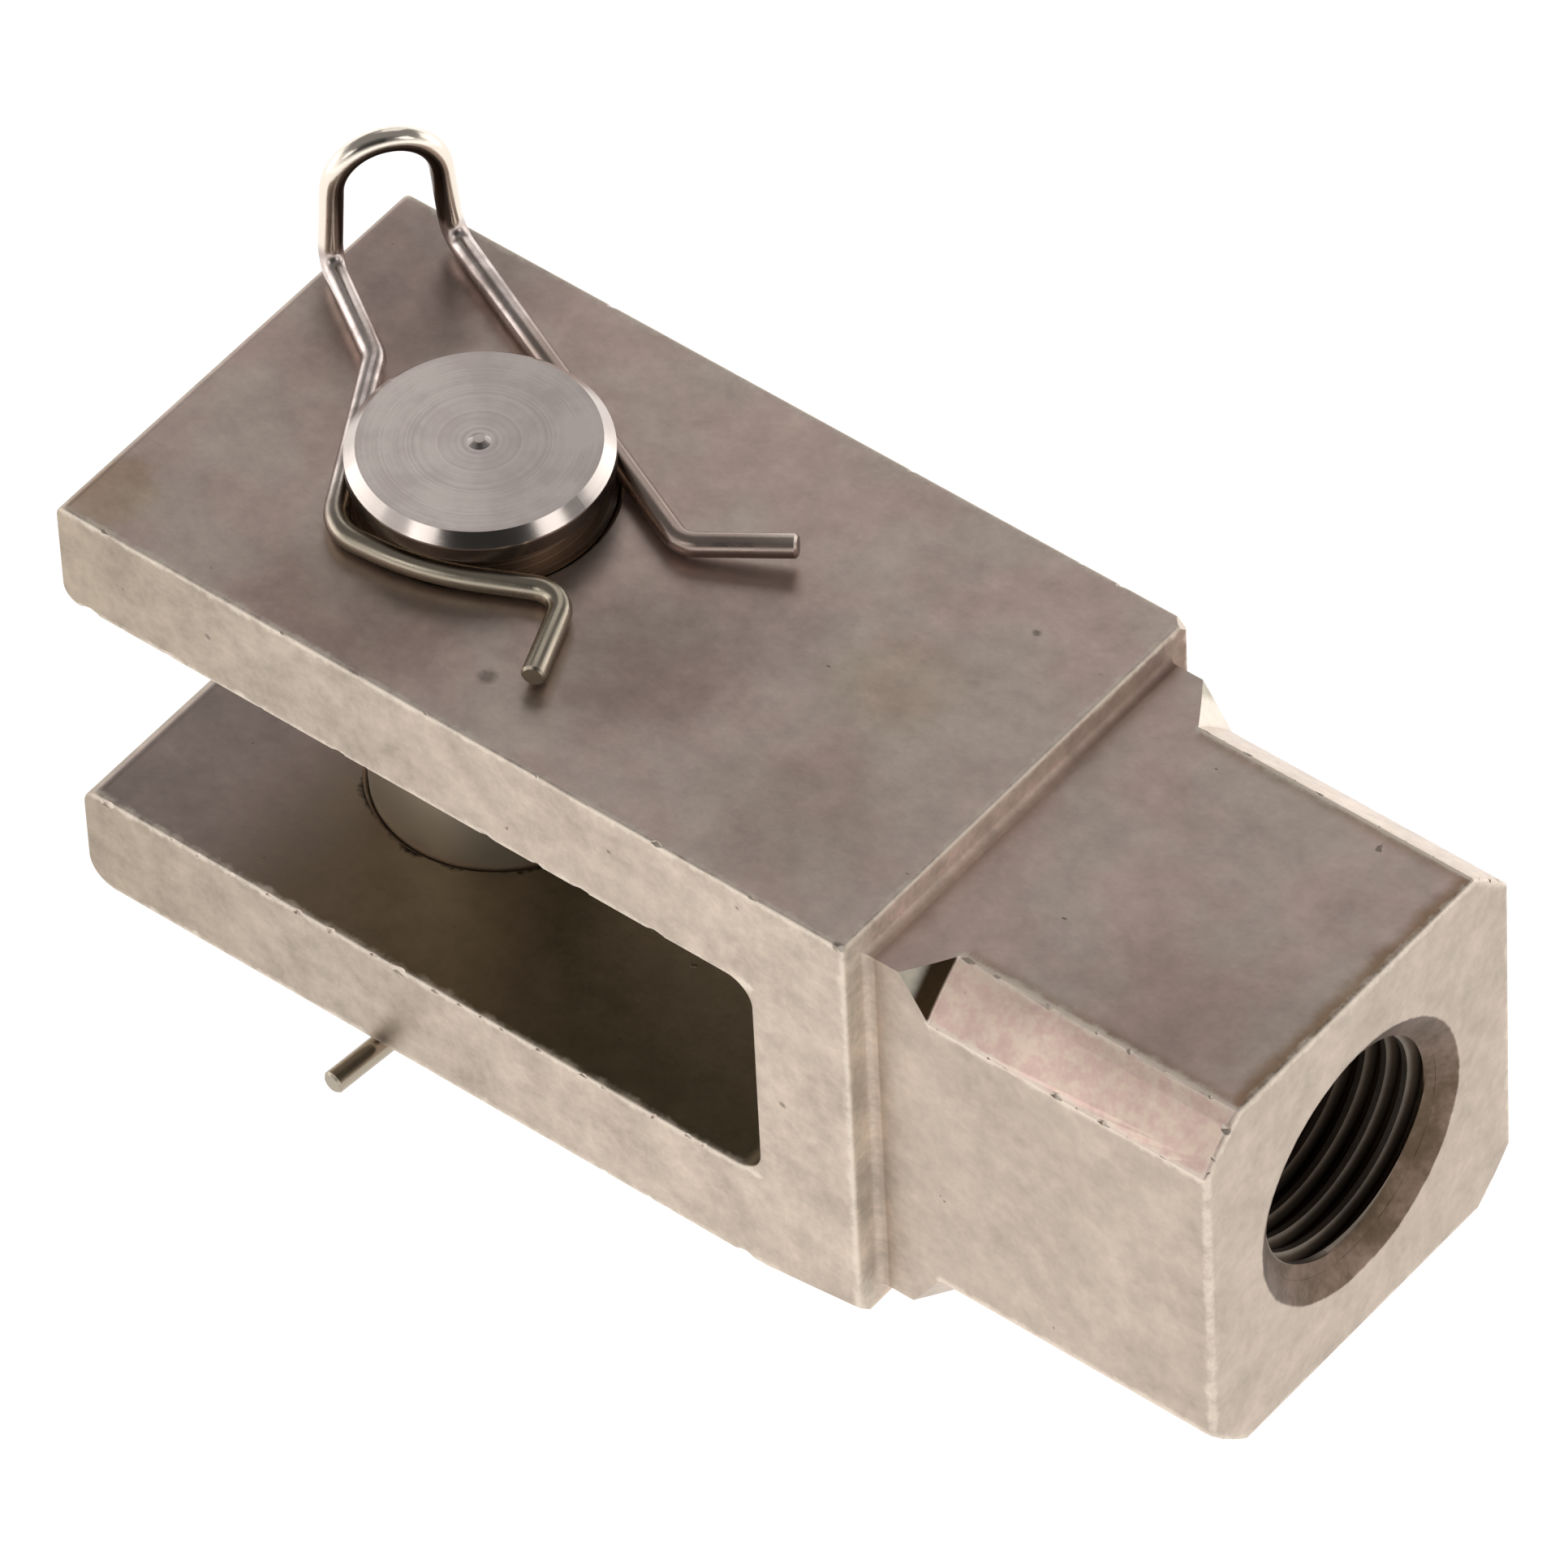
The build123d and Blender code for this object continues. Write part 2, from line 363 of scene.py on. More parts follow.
# Roughness
FORK_ROUGH = 0.32
FORK_ROUGH_SPAN = 0.16
WORN_ROUGH_MORE = 0.25
BORE_ROUGH = 0.50
CHIP_ROUGH = 0.50
PIN_ROUGH = 0.19
PIN_ROUGH_SPAN = 0.14
PIN_RIM_ROUGH_LESS = 0.08
SHAFT_ROUGH = 0.42
GROOVE_ROUGH = 0.38
WIRE_ROUGH = 0.24
WIRE_ROUGH_SPAN = 0.08
LOOP_ROUGH = 0.16

# Depth of the grain
FORK_GRAIN = 0.008
CHIP_GRAIN = 0.010
PIN_GRAIN = 0.006
WIRE_GRAIN = 0.006

# Soft patches on the top of the fork, three of them a painted shadow of the pin and the upper clip:
# centre x and y, radius, tint to multiply by, strength
TOP_PATCHES_AND_PAINTED_SHADOW = [
    ((29.2, 2.0), 4.0, rgba(246, 245, 232), 0.6),
    ((21.5, 0.4), 4.0, rgba(236, 239, 240), 0.7),
    # Painted shadow of the pin and the upper clip, between the clip's two ends
    ((16.5, -5.5), 6.0, rgba(212, 209, 209), 0.9),
    ((31.0, -9.0), 6.0, rgba(238, 235, 233), 0.9),
    ((57.0, -7.0), 7.0, rgba(234, 231, 229), 0.9),
    ((-17.5, -13.0), 3.0, rgba(236, 228, 208), 0.8),
    # Painted shadow of the upper clip, in front of its front wire
    ((0.0, -12.5), 7.0, rgba(216, 211, 209), 0.9),
    # Painted shadow of the upper clip, between the legs of its finger loop
    ((-14.0, 11.5), 8.0, rgba(214, 211, 213), 0.9),
]

# Single pits in the fork's faces: centre and radius
PITS = [
    ((33.1, 10.0, 16.0), 0.30),
    ((9.8, -11.6, 16.0), 0.70),
    ((34.3, -16.0, -0.6), 0.28),
    ((-7.8, -16.0, 12.0), 0.25),
    ((38.9, -15.9, 15.9), 0.35),
]


def metal_surface(nodes, color, roughness, bump_height, bump_depth):
    """Ends a finish: a metal shader with a colour, a roughness and a height in millimetres."""
    relief = nodes.add("Bump", {"Strength": 1.0, "Distance": bump_depth * MM, "Height": bump_height})
    inputs = {"Base Color": color, "Metallic": 1.0, "Roughness": roughness, "Normal": relief.outputs[0]}
    shader = nodes.add("BsdfPrincipled", inputs)
    nodes.add("OutputMaterial", {"Surface": shader.outputs[0]})


class ForkPlace:
    """A point of the fork's surface: where it lies, which way it faces and how cloudy it is."""

    def __init__(self, nodes):
        self.spot = nodes.millimetres()
        self.x, self.y, self.z = nodes.split(self.spot)
        self.wide = nodes.math("ABSOLUTE", self.y)
        self.high = nodes.math("ABSOLUTE", self.z)
        self.radius = nodes.vector("LENGTH", nodes.join(0.0, self.y, self.z))
        self.normal = nodes.split(nodes.add("TexCoord").outputs["Normal"])
        self.lying = nodes.step(nodes.math("ABSOLUTE", self.normal["Z"]), *LYING)
        self.above = nodes.step(self.normal["Z"], *LYING)
        self.cloud = nodes.noise(self.spot, 0.25, detail=4.0, roughness=0.78)
        self.past_slot = nodes.step(self.x, SLOT_END, SLOT_END + 0.1)
        self.plus_side = nodes.step(self.y, -2.0, 2.0)
        self.on_strip = nodes.band(self.x, HEAD_END - 0.1, HEAD_END + 0.7, 0.1)
        self.on_cone = nodes.product(
            nodes.band(self.x, STUB_END, CONE_END, 0.05),
            nodes.band(self.normal["X"], 0.3, 0.9, 0.1),
            nodes.step(self.z, -4.0, 0.0),
        )
        self.cone_rear = nodes.step(self.x, STUB_END + 0.5, STUB_END + 1.2)


def side_steel(nodes, at):
    """The fork's upright faces: beige with broad pinkish and grey patches, yellower in front, and
    brighter towards the slot's end as a painted reflection.
    """
    patches = nodes.step(nodes.noise(at.spot, 0.26, detail=4.0, roughness=0.6), 0.38, 0.62)
    color = nodes.mix(patches, SIDE_PINKISH, SIDE_BEIGE)
    shifted = nodes.vector("ADD", at.spot, (31.0, 7.0, 19.0))
    grey = nodes.step(nodes.noise(shifted, 0.8, detail=4.0, roughness=0.6), 0.46, 0.64)
    color = nodes.mix(nodes.product(grey, 0.40), color, SIDE_GREY)
    front = nodes.step(at.x, 2.0, EAR_END)
    color = nodes.mix(nodes.product(front, 0.6), color, SIDE_YELLOWISH)
    # Brighter from the ears' front to the slot's end as a painted reflection; a little darker past the
    # head
    level = nodes.math("MULTIPLY_ADD", nodes.step(at.x, EAR_END, SLOT_END), 0.21, 0.80)
    level = nodes.math("MULTIPLY_ADD", nodes.step(at.x, HEAD_END, CONE_END), -0.05, level)
    return nodes.scale(color, level)


def top_steel(nodes, at):
    """The faces that lie flat: browner, in broad blotches, with the upper face's soft patches, three of
    which are a painted shadow of the pin and the upper clip.
    """
    broad = nodes.step(nodes.noise(at.spot, 0.13, detail=4.0), 0.40, 0.60)
    color = nodes.mix(broad, TOP_MAUVE, TOP_GREY)
    ragged = nodes.math("MULTIPLY_ADD", nodes.noise(at.spot, 0.4), 4.0, -2.0)
    for (along, across), radius, tint, strength in TOP_PATCHES_AND_PAINTED_SHADOW:
        gap = nodes.vector("DISTANCE", at.spot, (along, across, HEAD_HALF))
        inside = nodes.step(nodes.math("ADD", gap, ragged), radius * 1.4, radius * 0.4)
        color = nodes.mix(nodes.product(inside, at.above, strength), color, tint, blend="MULTIPLY")
    border = brown_border(nodes, at, ragged)
    return nodes.mix(border, color, BORDER_BROWN, blend="MULTIPLY")


def brown_border(nodes, at, ragged):
    """1 on the browner border of the neck's flat faces, at their end and beside the facets."""
    ragged_x = nodes.math("ADD", at.x, nodes.product(ragged, 0.4))
    at_end = nodes.step(ragged_x, FORK_END - 1.6, FORK_END - 0.3)
    at_facet = nodes.product(
        nodes.step(at.wide, FACET_EDGE - 1.2, FACET_EDGE),
        nodes.step(at.x, CONE_END, CONE_END + 0.5),
    )
    return nodes.math("MAXIMUM", at_end, nodes.product(at_facet, 0.7))


def strip_steel(nodes, at):
    """The strip at the head's rear edge: khaki on its -Y side, pinkish, then brown to +Y."""
    inner = nodes.step(at.y, -HEAD_HALF + 0.3, -HEAD_HALF + 4.0)
    color = nodes.mix(inner, STEP_KHAKI, STEP_PINKISH)
    return nodes.mix(nodes.step(at.y, -4.0, 14.0), color, STEP_BROWN)


def cone_steel(nodes, at):
    """The upper cones: grey next to the stub, then a painted dark reflection on the -Y side and a
    painted highlight on the +Y side.
    """
    # Painted dark reflection on the -Y side, painted highlight on the +Y side
    rear = nodes.mix(at.plus_side, CONE_DARK_REFLECTION, WEAR_AND_HIGHLIGHT_BRIGHT)
    return nodes.mix(at.cone_rear, CONE_GREY, rear)


def turned(nodes, at, color):
    """Adds the neck's turned facets: pink with pale specks, with a painted highlight on the +Y side."""
    past_cone = nodes.step(at.x, CONE_END - 0.2, CONE_END)
    outermost = nodes.step(at.radius, TURNED_RADIUS - 0.20, TURNED_RADIUS - 0.05)
    specks = nodes.step(nodes.noise(at.spot, 1.0, detail=5.0, roughness=0.7), 0.42, 0.58)
    facet = nodes.mix(specks, TURNED_PINK, TURNED_PALE)
    # A painted highlight on the facets of the +Y side
    facet = nodes.mix(nodes.product(at.plus_side, 0.6), facet, WEAR_AND_HIGHLIGHT_BRIGHT)
    return nodes.mix(nodes.product(outermost, past_cone), color, facet)


def slotted(nodes, at, color):
    """Adds the slot's faces in painted shade: mauve at the ears' front, darker olive further in, and a
    painted shadow round the pin.
    """
    in_slot = nodes.product(
        nodes.step(at.high, SLOT_HALF + 0.1, SLOT_HALF),
        nodes.step(at.x, SLOT_END + 0.1, SLOT_END),
        nodes.step(at.wide, HEAD_HALF - 0.02, HEAD_HALF - 0.1),
    )
    # The slot's faces are in painted shade, darker and more olive further in
    deeper_shade = nodes.step(nodes.math("MULTIPLY_ADD", at.cloud, 12.0, at.x), -6.0, 4.0)
    slot = nodes.mix(deeper_shade, SLOT_MAUVE_SHADE, SLOT_OLIVE_SHADE)
    # A painted shadow in a ragged ring round the pin on the slot's faces
    from_axis = nodes.vector("LENGTH", nodes.join(at.x, at.y, 0.0))
    from_axis = nodes.math("MULTIPLY_ADD", at.cloud, -2.4, from_axis)
    slot = nodes.mix(nodes.step(from_axis, PIN_BORE - 0.7, PIN_BORE - 1.1), slot, PIN_RING_PAINTED_SHADE)
    return nodes.mix(in_slot, color, slot)


def bored(nodes, at, color):
    """Adds the dark rod thread, a painted highlight on its crests that fades inwards, and its brown
    mouth.
    """
    # A painted highlight on the crests near the mouth, fading inwards
    crest = nodes.step(at.radius, THREAD_CREST + 0.35, THREAD_CREST + 0.05)
    crest_highlight_reach = nodes.step(at.x, FORK_END - 9.0, FORK_END - 2.0)
    inside = nodes.mix(nodes.product(crest, crest_highlight_reach, 0.35), BORE_BROWN, CREST_PAINTED_HIGHLIGHT)
    mouth = nodes.mix(nodes.step(at.cloud, 0.35, 0.65), MOUTH_BROWN, MOUTH_PINK)
    rim = FORK_END - (MOUTH_RADIUS - THREAD_CREST) / MOUTH_SLOPE
    inside = nodes.mix(nodes.step(at.x, rim - 0.1, rim), inside, mouth)
    ragged = nodes.math("MULTIPLY_ADD", at.cloud, 0.4, at.radius)
    in_bore = nodes.step(ragged, MOUTH_RADIUS + 0.35, MOUTH_RADIUS + 0.15)
    return nodes.mix(nodes.product(in_bore, at.past_slot), color, inside)


def mottled(nodes, at, color):
    """Lightens and darkens a colour in clouds, which are fainter on the neck and where it lies."""
    contrast = nodes.math("MULTIPLY_ADD", nodes.step(at.x, HEAD_END, CONE_END), -0.35, 1.2)
    contrast = nodes.mix_value(at.lying, contrast, 0.7)
    level = nodes.math("MULTIPLY_ADD", nodes.math("SUBTRACT", at.cloud, 0.5), contrast, 1.0)
    return nodes.scale(color, level)


def edge_gap(nodes, at):
    """How far the nearest long edge is, along the fork's faces, in millimetres."""
    def minus(first, second):
        return nodes.math("SUBTRACT", first, second)

    behind_slot = nodes.math("MAXIMUM", minus(at.x, SLOT_END), 0.0)
    from_slot = nodes.math("ADD", nodes.math("ABSOLUTE", minus(at.high, SLOT_HALF)), behind_slot)
    before_cone = nodes.math("MAXIMUM", minus(CONE_END, at.x), 0.0)
    upper_facet = nodes.math("ADD", nodes.math("ABSOLUTE", minus(at.wide, FACET_EDGE)), before_cone)
    lower_facet = nodes.math("ADD", nodes.math("ABSOLUTE", minus(at.high, FACET_EDGE)), before_cone)
    widest = nodes.math("MAXIMUM", at.wide, at.high)
    from_rim = nodes.math("MINIMUM", minus(NECK_HALF, widest), minus(TURNED_RADIUS, at.radius))
    pairs = [
        (minus(HEAD_HALF, at.wide), minus(HEAD_HALF, at.high)),
        (minus(HEAD_HALF, at.wide), from_slot),
        (minus(HEAD_END, at.x), minus(HEAD_HALF, widest)),
        (minus(at.wide, NECK_HALF), lower_facet),
        (minus(at.high, NECK_HALF), upper_facet),
        (minus(FORK_END, at.x), from_rim),
    ]
    nearest = FAR_FROM_EDGES
    for first, second in pairs:
        gap = nodes.math("ADD", nodes.math("ABSOLUTE", first), nodes.math("ABSOLUTE", second))
        nearest = nodes.math("MINIMUM", nearest, gap)
    return nearest


def wear_and_highlight_share(nodes, at):
    """1 on the fork's long edges, brightened by wear and by a painted highlight, with a ragged border.
    """
    uneven = nodes.noise(at.spot, 0.9, detail=5.0, roughness=0.7)
    ragged = nodes.math("MULTIPLY_ADD", uneven, 1.3, -0.65)
    return nodes.step(nodes.math("ADD", edge_gap(nodes, at), ragged), 0.55, 0.0)


def pit_share(nodes, at):
    """1 in the pits of the fork's faces: a scatter of small ones, and the single larger ones."""
    pit = nodes.step(nodes.noise(at.spot, 0.8, detail=2.0), 0.24, 0.20)
    ragged = nodes.math("MULTIPLY_ADD", nodes.noise(at.spot, 3.0), 0.4, -0.2)
    for centre, size in PITS:
        gap = nodes.math("ADD", nodes.vector("DISTANCE", at.spot, centre), ragged)
        pit = nodes.math("MAXIMUM", pit, nodes.step(gap, size * 1.2, size * 0.3))
    return pit


def fork_roughness(nodes, at, worn):
    """Uneven on the faces, even in the bore, rougher on worn edges, the strip and the cones'
    front, and smoother on the cones' rear."""
    rough = nodes.math("MULTIPLY_ADD", nodes.noise(at.spot, 0.6), FORK_ROUGH_SPAN, FORK_ROUGH)
    coarse = nodes.math("MAXIMUM", worn, nodes.product(at.on_strip, 1.5))
    rough = nodes.math("MULTIPLY_ADD", coarse, WORN_ROUGH_MORE, rough)
    bore_wall = nodes.step(at.radius, MOUTH_RADIUS, THREAD_ROOT + 0.1)
    rough = nodes.mix_value(nodes.product(bore_wall, at.past_slot), rough, BORE_ROUGH)
    cone_change = nodes.math("MULTIPLY_ADD", at.cone_rear, -0.5, 0.3)
    return nodes.math("ADD", rough, nodes.product(at.on_cone, cone_change))


def make_fork_steel():
    """Tumbled steel: mottled, browner where it lies flat or was bored, and bright along worn edges,
    where the brightness is wear and a painted highlight.
    """
    material = bpy.data.materials.new("fork_steel")
    nodes = Nodes(material)
    at = ForkPlace(nodes)
    color = nodes.mix(at.lying, side_steel(nodes, at), top_steel(nodes, at))
    color = nodes.mix(nodes.product(at.on_strip, 0.85), color, strip_steel(nodes, at))
    color = nodes.mix(at.on_cone, color, cone_steel(nodes, at))
    for layer in (turned, slotted, bored, mottled):
        color = layer(nodes, at, color)
    worn = wear_and_highlight_share(nodes, at)
    # The long edges are painted bright, as wear and as a highlight
    color = nodes.mix(nodes.product(worn, 0.8), color, WEAR_AND_HIGHLIGHT_BRIGHT)
    pit = pit_share(nodes, at)
    color = nodes.mix(nodes.product(pit, 0.6), color, PIT_BROWN)
    grain = nodes.noise(at.spot, 2.2, detail=4.0)
    relief = nodes.math("SUBTRACT", grain, nodes.product(pit, 1.5))
    metal_surface(nodes, color, fork_roughness(nodes, at, worn), relief, FORK_GRAIN)
    return material


def make_bare_steel():
    """Bright metal in the fresh chips along the fork's edges."""
    material = bpy.data.materials.new("bare_steel")
    nodes = Nodes(material)
    place = nodes.millimetres()
    color = nodes.mix(nodes.noise(place, 2.0), BARE_STEEL, SIDE_BEIGE)
    metal_surface(nodes, color, CHIP_ROUGH, nodes.noise(place, 5.0), CHIP_GRAIN)
    return material


def pin_chamfer(nodes, radius, high):
    """1 on the bright chamfers at the pin's ends."""
    return nodes.product(
        nodes.step(radius, PIN_LIP - 0.75, PIN_LIP - 0.65),
        nodes.step(high, PIN_CHAMFER_START - 0.2, PIN_CHAMFER_START - 0.1),
    )


def pin_groove(nodes, radius, high):
    """1 in the pin's clip grooves."""
    return nodes.product(
        nodes.step(radius, PIN_LIP - 0.1, PIN_LIP - 0.2),
        nodes.step(high, PIN_SHOULDER + 0.2, PIN_SHOULDER),
    )


def pin_flank(nodes, radius, high):
    """1 on the pin's round sides beyond its grooves."""
    return nodes.product(
        nodes.step(radius, PIN_LIP - 0.06, PIN_LIP - 0.02),
        nodes.band(high, PIN_SHOULDER, PIN_CHAMFER_START, 0.02),
    )


def make_pin_steel():
    """Turned steel: fine rings round the pin's axis on its ends and along its body."""
    material = bpy.data.materials.new("pin_steel")
    nodes = Nodes(material)
    place = nodes.millimetres()
    x, y, z = nodes.split(place)
    radius = nodes.vector("LENGTH", nodes.join(x, y, 0.0))
    high = nodes.math("ABSOLUTE", z)
    in_groove = pin_groove(nodes, radius, high)
    chamfer = pin_chamfer(nodes, radius, high)
    shaft = nodes.step(high, HEAD_HALF - 1.0, HEAD_HALF - 2.0)
    rings = nodes.noise(nodes.join(radius, z, 0.0), 4.5, detail=3.0)
    smudge = nodes.noise(place, 0.35, detail=4.0)

    shade = nodes.math("MULTIPLY_ADD", rings, 0.35, nodes.product(smudge, 0.65))
    color = nodes.mix(nodes.step(shade, 0.38, 0.62), PIN_DARK, PIN_STEEL)
    lip = nodes.band(high, HEAD_HALF - 0.3, HEAD_HALF, 0.02)
    brown = nodes.mix(nodes.step(rings, 0.50, 0.62), PIN_BROWN, PIN_STEEL)
    color = nodes.mix(nodes.math("MAXIMUM", in_groove, lip), color, brown)
    # A painted dark reflection on the pin's round sides beyond its grooves
    color = nodes.mix(pin_flank(nodes, radius, high), color, PIN_FLANK_DARK_REFLECTION, blend="MULTIPLY")
    across = nodes.math("MULTIPLY_ADD", smudge, 6.0, nodes.math("ADD", x, y))
    dim_side = nodes.step(across, -1.0, 7.0)
    color = nodes.mix(nodes.product(dim_side, 0.8), color, PIN_DIM, blend="MULTIPLY")
    color = nodes.mix(shaft, color, PIN_OLIVE)
    color = nodes.mix(chamfer, color, PIN_RIM)

    rough = nodes.math("MULTIPLY_ADD", chamfer, -PIN_RIM_ROUGH_LESS, PIN_ROUGH)
    rough = nodes.math("MULTIPLY_ADD", smudge, PIN_ROUGH_SPAN, rough)
    rough = nodes.mix_value(shaft, rough, SHAFT_ROUGH)
    rough = nodes.mix_value(in_groove, rough, GROOVE_ROUGH)
    metal_surface(nodes, color, rough, rings, PIN_GRAIN)
    return material


def inside_loop(nodes, place, z):
    """1 on the side of the wire that looks into the upper clip's finger loop."""
    from_middle = nodes.vector("SUBTRACT", place, LOOP_MIDDLE)
    across = nodes.vector("DOT_PRODUCT", from_middle, LOOP_ACROSS)
    rise = nodes.math("MAXIMUM", nodes.math("SUBTRACT", z, LOOP_MIDDLE[2]), 0.0)
    reach = nodes.vector("LENGTH", nodes.join(across, rise, 0.0))
    return nodes.step(reach, LOOP_RADIUS + 0.2, LOOP_RADIUS - 0.2)


def make_clip_wire():
    """Drawn spring wire: olive and brown by the pin, with a painted highlight on the finger loop
    and a painted dark reflection inside it.
    """
    material = bpy.data.materials.new("clip_wire")
    nodes = Nodes(material)
    place = nodes.millimetres()
    x, y, z = nodes.split(place)
    smudge = nodes.step(nodes.noise(place, 0.5, detail=4.0), 0.35, 0.65)
    color = nodes.mix(smudge, WIRE_STEEL, WIRE_DARK)
    tinted = nodes.mix(nodes.step(y, -2.0, 0.0), WIRE_OLIVE, WIRE_BROWN)
    color = nodes.mix(nodes.step(x, -8.0, -3.0), color, tinted)
    raised = nodes.step(z, LOOP_FOOT, LOOP_FOOT + 1.0)
    # The finger loop is painted bright as a highlight, and its inner side dark as a painted reflection
    color = nodes.mix(raised, color, WEAR_AND_HIGHLIGHT_BRIGHT)
    inner_dark_reflection = nodes.product(inside_loop(nodes, place, z), raised)
    color = nodes.mix(inner_dark_reflection, color, LOOP_INSIDE_DARK_REFLECTION)
    rough = nodes.mix_value(raised, WIRE_ROUGH, LOOP_ROUGH)
    rough = nodes.math("MULTIPLY_ADD", smudge, WIRE_ROUGH_SPAN, rough)
    metal_surface(nodes, color, rough, nodes.noise(place, 3.0), WIRE_GRAIN)
    return material


# ---------------------------------------------------------------- geometry

def fork_edges():
    """The fork's straight edges: both ends in millimetres, the chips' spacing and their size."""
    edges = []
    front = EAR_END + EAR_CORNER
    for side in (-1, 1):
        for over in (-1, 1):
            for start, end, wide, high, gap, size in (
                (front, HEAD_END - 0.5, HEAD_HALF, HEAD_HALF, CHIP_GAP, 1.0),
                (front, SLOT_END - EAR_CORNER, HEAD_HALF, SLOT_HALF, SPARSE_CHIP_GAP, 1.0),
                (CONE_END + 0.6, FORK_END - 0.4, FACET_EDGE, NECK_HALF, SPARSE_CHIP_GAP, 0.6),
                (CONE_END + 0.6, FORK_END - 0.4, NECK_HALF, FACET_EDGE, SPARSE_CHIP_GAP, 0.6),
            ):
                first = Vector((start, side * wide, over * high))
                last = Vector((end, side * wide, over * high))
                edges.append((first, last, gap, size))
            facet_end = FORK_END - 0.1
            upper = Vector((facet_end, side * FACET_EDGE, over * NECK_HALF))
            lower = Vector((facet_end, side * NECK_HALF, over * FACET_EDGE))
            edges.append((upper, lower, END_CHIP_GAP, 0.7))
    return edges


def add_chip(chips, taken, centre, radius, stretch):
    """Adds a small jagged lump to the chips, unless it would touch one that is there."""
    reach = radius * stretch * 1.1
    for other, other_reach in taken:
        if (centre - other).length < reach + other_reach:
            return
    taken.append((centre, reach))
    shape = Matrix.Translation(centre * MM) @ Matrix.Diagonal((stretch, 1, 1, 1))
    made = bmesh.ops.create_icosphere(chips, subdivisions=1, radius=radius * MM, matrix=shape)
    for vertex in made["verts"]:
        away = vertex.co - centre * MM
        vertex.co = centre * MM + away * random.uniform(0.8, 1.1)


def add_knock(chips, taken, corner, depth):
    """Adds a round lump that takes the tip off a corner."""
    outward = Vector([math.copysign(1, share) for share in corner]).normalized()
    centre = corner + outward * (KNOCK_RADIUS - depth)
    taken.append((centre, KNOCK_RADIUS))
    place = Matrix.Translation(centre * MM)
    bmesh.ops.create_icosphere(chips, subdivisions=3, radius=KNOCK_RADIUS * MM, matrix=place)


def make_chips():
    """All that knocks have taken out of the fork: two corners, and chips along its edges."""
    chips = bmesh.new()
    taken = []
    for corner, depth in KNOCKED_CORNERS:
        add_knock(chips, taken, Vector(corner), depth)
    for start, end, gap, size in fork_edges():
        outward = Vector((0, start.y, start.z)).normalized()
        along = 0.0
        length = (end - start).length
        while along < length:
            radius = size * (CHIP_RADIUS + CHIP_SPREAD * random.random() ** 2)
            centre = start.lerp(end, along / length)
            centre += outward * radius * random.uniform(0.35, 0.75)
            add_chip(chips, taken, centre, radius, random.uniform(1.0, 2.2))
            along += gap * random.uniform(0.4, 1.6)
    return chips


def make_object(name, shape, material):
    mesh = bpy.data.meshes.new(name)
    shape.to_mesh(mesh)
    shape.free()
    mesh.materials.append(material)
    piece = bpy.data.objects.new(name, mesh)
    bpy.context.scene.collection.objects.link(piece)
    return piece


def make_worn_fork(fork_steel, bare_steel):
    """The fork with its chips cut out, in place of the plain solid."""
    shape = bmesh.new()
    shape.from_mesh(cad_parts["fork"].data)
    bmesh.ops.remove_doubles(shape, verts=shape.verts, dist=1e-8)
    fork = make_object("worn_fork", shape, fork_steel)
    chips = make_object("chips", make_chips(), bare_steel)
    cut = fork.modifiers.new("chips", "BOOLEAN")
    cut.operation = "DIFFERENCE"
    cut.solver = "EXACT"
    cut.material_mode = "TRANSFER"
    cut.object = chips
    worn = bpy.data.meshes.new_from_object(fork.evaluated_get(bpy.context.evaluated_depsgraph_get()))
    fork.modifiers.clear()
    fork.data = worn
    bpy.data.objects.remove(chips)
    worn.attributes.remove(worn.attributes["custom_normal"])
    worn.set_sharp_from_angle(angle=SHARP_ANGLE)
    for face in worn.polygons:
        face.use_smooth = max(abs(share) for share in face.normal) < FLAT_SHARE
    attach(fork, "fork")
    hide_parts("fork")


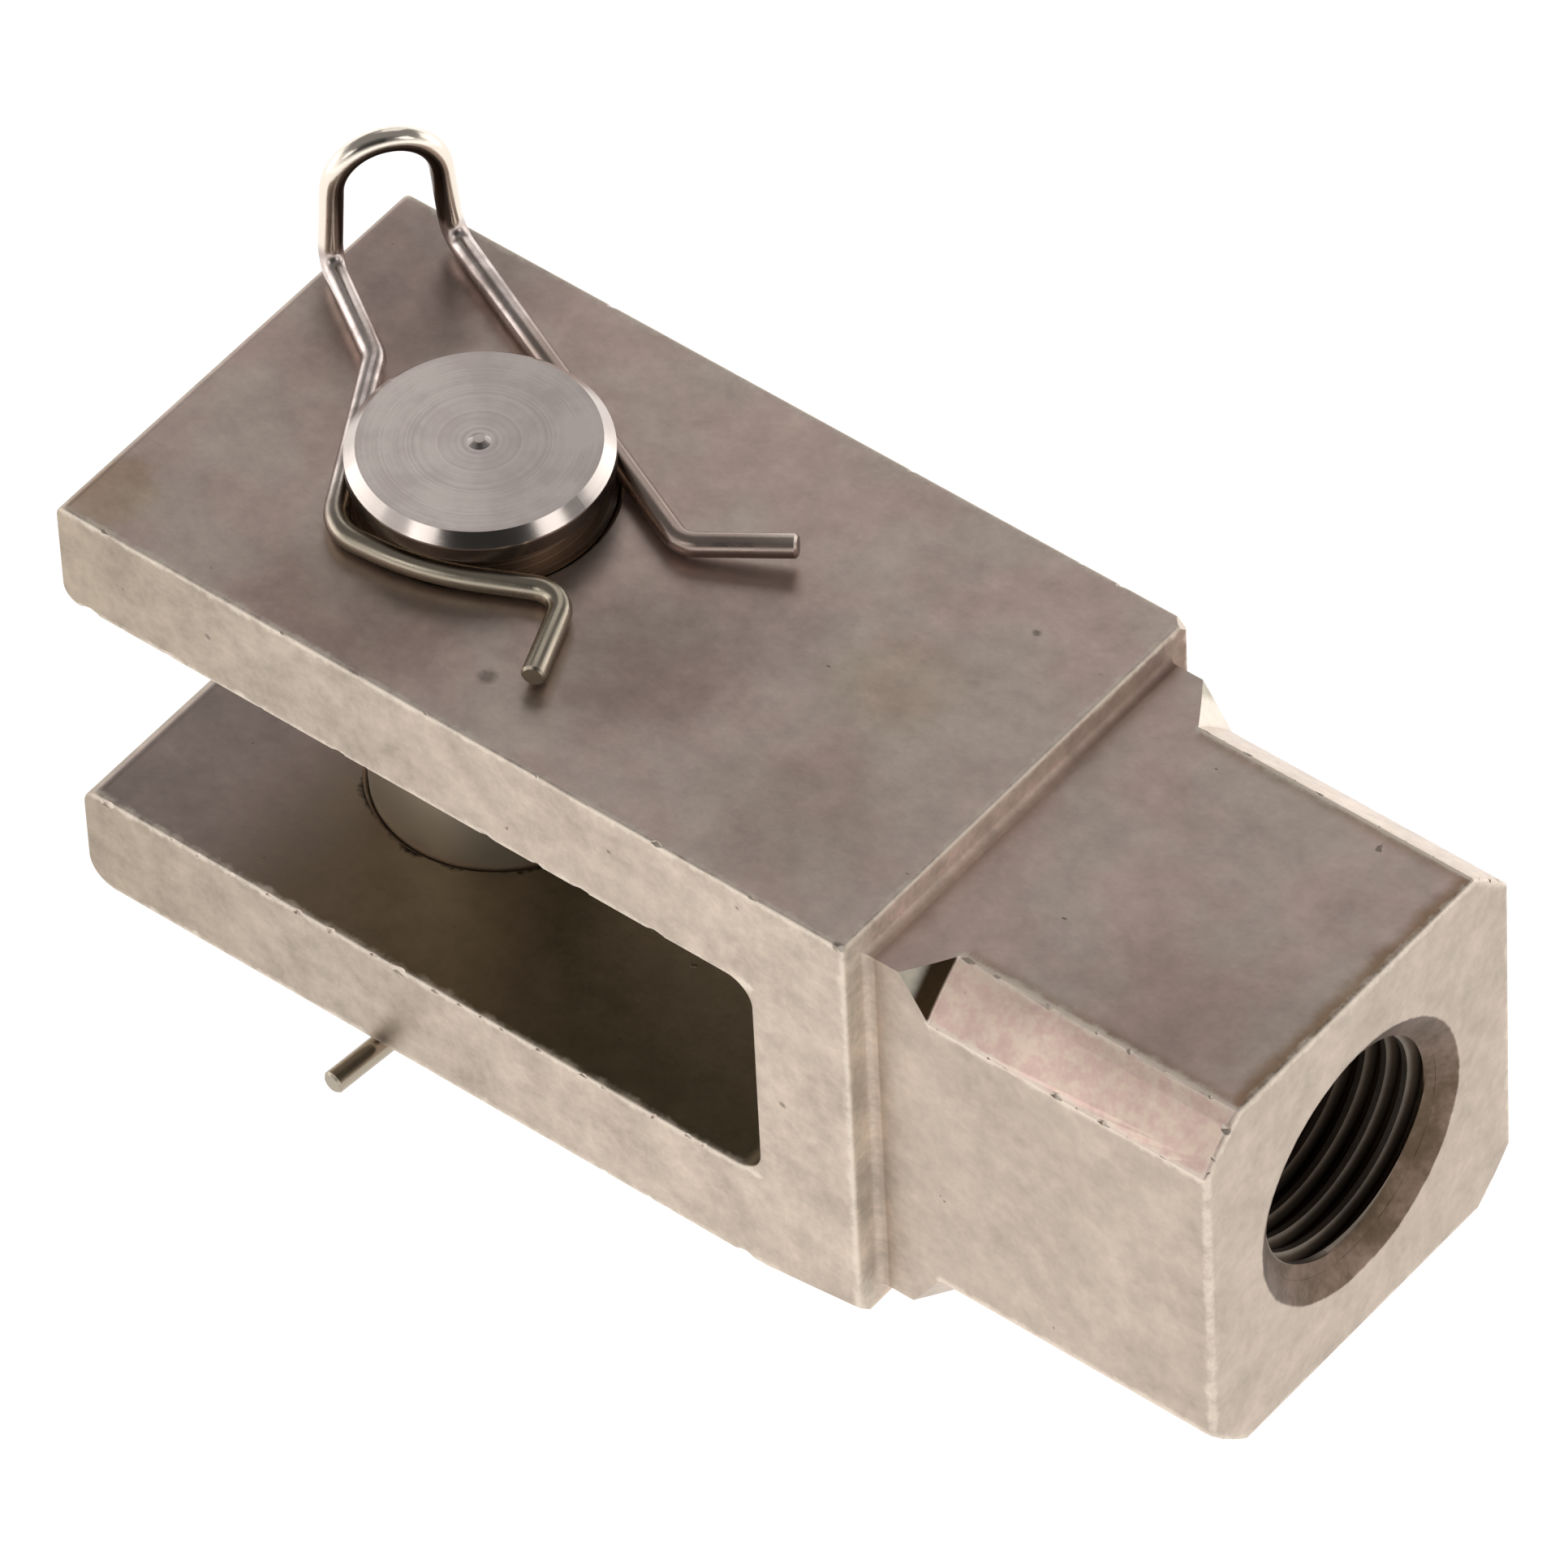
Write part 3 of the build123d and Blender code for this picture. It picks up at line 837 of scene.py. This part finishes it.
def thread_profile():
    """Half a pitch each way across the ridge: how far along, and how far from the axis."""
    flank_steps = 4
    points = [(-THREAD_ROOT_HALF, THREAD_ROOT + THREAD_SUNK)]
    for index in range(flank_steps + 1):
        share = index / flank_steps
        along = THREAD_ROOT_HALF + (THREAD_CREST_HALF - THREAD_ROOT_HALF) * share
        points.append((-along, THREAD_ROOT + (THREAD_CREST - THREAD_ROOT) * share))
    mirrored = [(-along, radius) for along, radius in reversed(points)]
    return points + mirrored


def make_thread():
    """The rod thread: one helical ridge on the wall of the bore, cut back by the mouth's cone."""
    profile = thread_profile()
    turns = (FORK_END - SLOT_END) / THREAD_PITCH + 1
    shape = bmesh.new()
    rings = []
    for index in range(int(turns * THREAD_STEPS)):
        angle = 2 * math.pi * index / THREAD_STEPS
        middle = SLOT_END - THREAD_PITCH / 2 + index / THREAD_STEPS * THREAD_PITCH
        ring = []
        for along, radius in profile:
            x = middle + along
            cone = MOUTH_RADIUS - (FORK_END - x) * MOUTH_SLOPE
            if x < SLOT_END + THREAD_SUNK or cone > THREAD_ROOT:
                radius = max(THREAD_ROOT, cone) + THREAD_SUNK
            radius = max(radius, cone)
            x = min(max(x, SLOT_END + THREAD_SUNK), FORK_END - THREAD_SUNK)
            spot = Vector((x, radius * math.cos(angle), radius * math.sin(angle))) * MM
            ring.append(shape.verts.new(spot))
        rings.append(ring)
    for first, second in zip(rings, rings[1:]):
        for index in range(len(profile)):
            after = (index + 1) % len(profile)
            shape.faces.new((first[index], first[after], second[after], second[index]))
    shape.faces.new(list(reversed(rings[0])))
    shape.faces.new(rings[-1])
    bmesh.ops.recalc_face_normals(shape, faces=shape.faces)
    return shape


def make_thread_piece(fork_steel):
    thread = make_object("rod_thread", make_thread(), fork_steel)
    thread.data.set_sharp_from_angle(angle=SHARP_ANGLE)
    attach(thread, "fork")


def set_material(piece, material):
    piece.data.materials.clear()
    piece.data.materials.append(material)


place_camera()
light_studio()
fork_steel = make_fork_steel()
make_worn_fork(fork_steel, make_bare_steel())
make_thread_piece(fork_steel)
set_material(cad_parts["clevis_pin"], make_pin_steel())
clip_wire = make_clip_wire()
for clip in ("upper_clip", "lower_clip"):
    set_material(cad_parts[clip], clip_wire)
